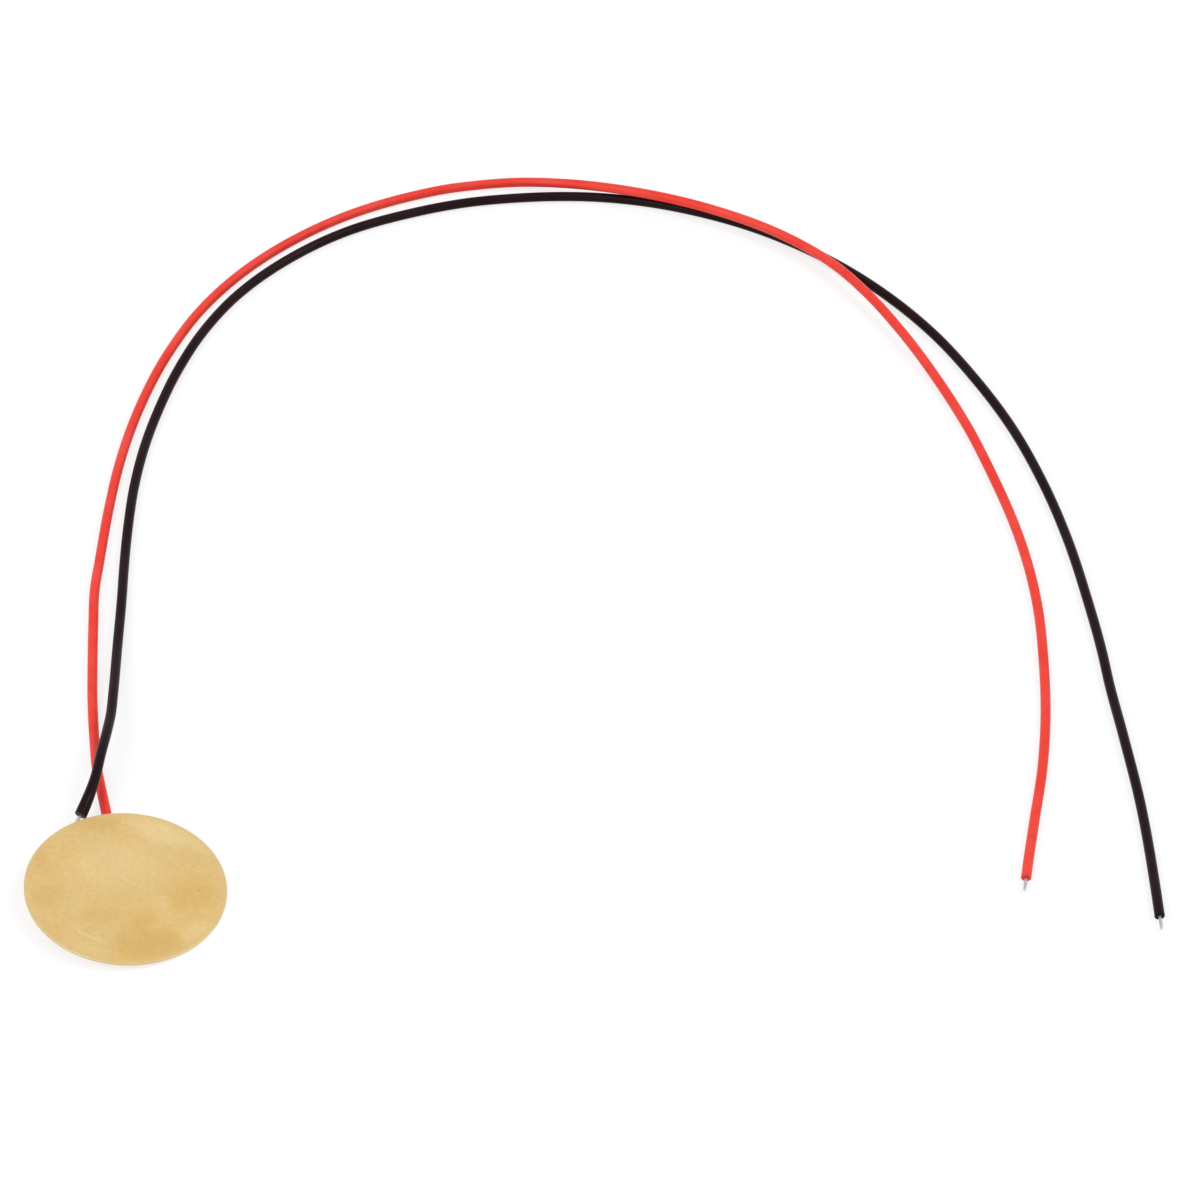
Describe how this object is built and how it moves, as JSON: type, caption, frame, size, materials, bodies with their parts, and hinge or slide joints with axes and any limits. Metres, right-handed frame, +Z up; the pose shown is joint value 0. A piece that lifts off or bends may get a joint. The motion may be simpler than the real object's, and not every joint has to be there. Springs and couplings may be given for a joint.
{
  "type": "piezo disc",
  "caption": "Piezo sounder element: a thin brass plate with a silvered ceramic disc bonded under it, and long insulated leads soldered to its electrodes, with short tinned tips.",
  "frame": {"origin": "on the surface that the part lies on, straight below the middle of the brass plate", "axes": "+Z up from the surface, square to it; +Y towards the side of the plate that both leads leave from; +X towards the leads' free ends"},
  "size_m": [0.1515, 0.1596, 0.0047],
  "materials": {
    "brass": "matte, faintly tarnished",
    "ceramic": "fired, matte",
    "silver": "screen-printed fired silver, matte",
    "adhesive": "cured, amber",
    "solder": "satin",
    "tinned_copper": "tinned strands",
    "red_pvc": "soft PVC, low gloss",
    "black_pvc": "soft PVC, low gloss"
  },
  "bodies": {
    "root": {"brass_plate": "brass", "bond_film": "adhesive", "inner_electrode": "silver", "ceramic_disc": "ceramic", "outer_electrode": "silver", "signal_solder": "solder", "earth_solder": "solder", "red_insulation": "red_pvc", "red_core": "tinned_copper", "black_insulation": "black_pvc", "black_core": "tinned_copper"}
  },
  "joints": []
}
